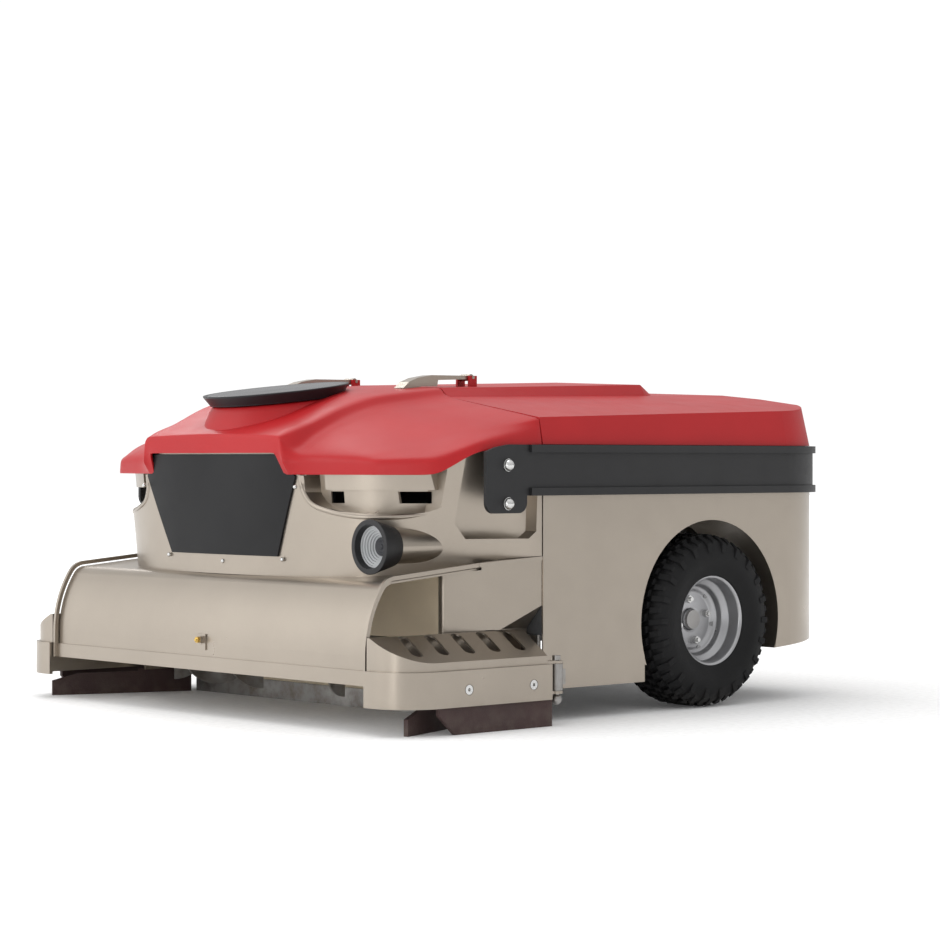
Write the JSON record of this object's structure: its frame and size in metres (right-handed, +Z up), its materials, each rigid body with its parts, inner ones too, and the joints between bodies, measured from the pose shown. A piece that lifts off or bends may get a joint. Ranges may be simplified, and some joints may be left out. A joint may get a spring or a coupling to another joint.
{
  "type": "robotic floor cleaner",
  "caption": "Self-driving floor cleaner with a front scoop and auger, a tank, drive wheels, hinged side pods and a cover that lifts.",
  "frame": {"origin": "on the floor under the middle of the machine's length and width", "axes": "+X to the machine's left side, -Y the way it drives, +Z up"},
  "size_m": [1.444, 1.532, 0.782],
  "materials": {
    "auger_axle": "plain",
    "auger_housing": "satin metallic champagne",
    "auger_rotor": "plain",
    "battery_pack": "moulded case",
    "caster_fork": "dark grey powder coat",
    "caster_mount": "dark grey powder coat",
    "caster_wheel": "black rubber",
    "control_box": "light grey enclosure",
    "control_panel": "glossy dark top",
    "dump_gate": "stainless sheet",
    "emergency_stop": "red button",
    "front_crossmember": "dark grey powder coat",
    "front_hood": "satin red",
    "front_panel": "fine grain black",
    "front_shell": "satin metallic champagne",
    "hinge_straps": "satin metallic champagne",
    "left_bumper": "satin metallic champagne",
    "left_bumper_screws": "bright zinc",
    "left_frame_rail": "dark grey powder coat",
    "left_gearmotor": "painted casting",
    "left_guide_blade": "moulded brown-black rubber",
    "left_lug_nuts": "bright zinc",
    "left_pod": "satin metallic champagne",
    "left_rim": "silver paint",
    "left_rim_bar": "satin metallic champagne",
    "left_side_skirt": "moulded brown-black rubber",
    "left_side_wall": "satin metallic champagne",
    "left_tyre": "black rubber",
    "left_wheel_hub": "plain",
    "manure_tank": "stainless sheet",
    "nozzle_bracket": "satin metallic champagne",
    "panel_screws": "bright zinc",
    "pod_hinge_pins": "bright zinc",
    "rear_crossmember": "dark grey powder coat",
    "rear_lid": "satin red",
    "rear_shell": "satin metallic champagne",
    "right_bumper": "satin metallic champagne",
    "right_bumper_screws": "bright zinc",
    "right_frame_rail": "dark grey powder coat",
    "right_gearmotor": "painted casting",
    "right_guide_blade": "moulded brown-black rubber",
    "right_lug_nuts": "bright zinc",
    "right_pod": "satin metallic champagne",
    "right_rim": "silver paint",
    "right_rim_bar": "satin metallic champagne",
    "right_side_skirt": "moulded brown-black rubber",
    "right_side_wall": "satin metallic champagne",
    "right_tyre": "black rubber",
    "right_wheel_hub": "plain",
    "rub_rail": "fine grain black",
    "rub_rail_nuts": "bright zinc",
    "scoop_hood": "satin metallic champagne",
    "sonar_diaphragm": "light grey",
    "sonar_shroud": "fine grain black",
    "spray_nozzle": "turned",
    "squeegee_blade": "moulded brown-black rubber",
    "squeegee_wear_strip": "plain",
    "suction_duct": "stainless sheet",
    "vacuum_pump": "painted casting",
    "water_tank": "translucent white"
  },
  "bodies": {
    "chassis": {"auger_axle": "auger_axle", "auger_housing": "auger_housing", "battery_pack": "battery_pack", "caster_mount": "caster_mount", "control_box": "control_box", "front_crossmember": "front_crossmember", "front_panel": "front_panel", "front_shell": "front_shell", "left_frame_rail": "left_frame_rail", "left_gearmotor": "left_gearmotor", "left_guide_blade": "left_guide_blade", "left_rim_bar": "left_rim_bar", "left_side_wall": "left_side_wall", "manure_tank": "manure_tank", "nozzle_bracket": "nozzle_bracket", "panel_screws": "panel_screws", "pod_hinge_pins": "pod_hinge_pins", "rear_crossmember": "rear_crossmember", "rear_lid": "rear_lid", "rear_shell": "rear_shell", "right_frame_rail": "right_frame_rail", "right_gearmotor": "right_gearmotor", "right_guide_blade": "right_guide_blade", "right_rim_bar": "right_rim_bar", "right_side_wall": "right_side_wall", "rub_rail": "rub_rail", "rub_rail_nuts": "rub_rail_nuts", "scoop_hood": "scoop_hood", "sonar_diaphragm": "sonar_diaphragm", "sonar_shroud": "sonar_shroud", "spray_nozzle": "spray_nozzle", "squeegee_blade": "squeegee_blade", "squeegee_wear_strip": "squeegee_wear_strip", "suction_duct": "suction_duct", "vacuum_pump": "vacuum_pump", "water_tank": "water_tank"},
    "left_pod_assembly": {"left_pod": "left_pod", "left_bumper": "left_bumper", "left_bumper_screws": "left_bumper_screws", "left_side_skirt": "left_side_skirt"},
    "right_pod_assembly": {"right_pod": "right_pod", "right_bumper": "right_bumper", "right_bumper_screws": "right_bumper_screws", "right_side_skirt": "right_side_skirt"},
    "auger": {"auger_rotor": "auger_rotor"},
    "left_wheel": {"left_tyre": "left_tyre", "left_rim": "left_rim", "left_wheel_hub": "left_wheel_hub", "left_lug_nuts": "left_lug_nuts"},
    "right_wheel": {"right_tyre": "right_tyre", "right_rim": "right_rim", "right_wheel_hub": "right_wheel_hub", "right_lug_nuts": "right_lug_nuts"},
    "caster_swivel": {"caster_fork": "caster_fork"},
    "caster_roller": {"caster_wheel": "caster_wheel"},
    "gate": {"dump_gate": "dump_gate"},
    "front_cover": {"front_hood": "front_hood", "hinge_straps": "hinge_straps", "control_panel": "control_panel"},
    "stop_button": {"emergency_stop": "emergency_stop"}
  },
  "joints": [
    {"name": "left_wheel_spin", "type": "hinge", "parent": "chassis", "child": "left_wheel", "pos_m": [0.5745, 0.258, 0.203], "axis": [1, 0, 0], "continuous": true},
    {"name": "right_wheel_spin", "type": "hinge", "parent": "chassis", "child": "right_wheel", "pos_m": [-0.5745, 0.258, 0.203], "axis": [1, 0, 0], "continuous": true},
    {"name": "caster_turn", "type": "hinge", "parent": "chassis", "child": "caster_swivel", "pos_m": [0, -0.126, 0.17], "axis": [0, 0, 1], "continuous": true},
    {"name": "caster_roll", "type": "hinge", "parent": "caster_swivel", "child": "caster_roller", "pos_m": [0, -0.088, 0.062], "axis": [1, 0, 0], "continuous": true},
    {"name": "auger_spin", "type": "hinge", "parent": "chassis", "child": "auger", "pos_m": [0, -0.454, 0.115], "axis": [1, 0, 0], "continuous": true},
    {"name": "left_pod_swing", "type": "hinge", "parent": "chassis", "child": "left_pod_assembly", "pos_m": [0.706, -0.311, 0.106], "axis": [0, 0, 1], "range_deg": [0, 35], "stiffness_Nm_per_rad": 15},
    {"name": "right_pod_swing", "type": "hinge", "parent": "chassis", "child": "right_pod_assembly", "pos_m": [-0.706, -0.311, 0.106], "axis": [0, 0, -1], "range_deg": [0, 35], "stiffness_Nm_per_rad": 15},
    {"name": "front_cover_open", "type": "hinge", "parent": "chassis", "child": "front_cover", "pos_m": [0, -0.132, 0.774], "axis": [-1, 0, 0], "range_deg": [0, 60]},
    {"name": "dump_gate_slide", "type": "slide", "parent": "chassis", "child": "gate", "axis": [0, -1, 0], "range_m": [0, 0.2]},
    {"name": "emergency_stop_press", "type": "slide", "parent": "chassis", "child": "stop_button", "axis": [0, -1, 0], "range_m": [0, 0.003], "stiffness_N_per_m": 800}
  ]
}
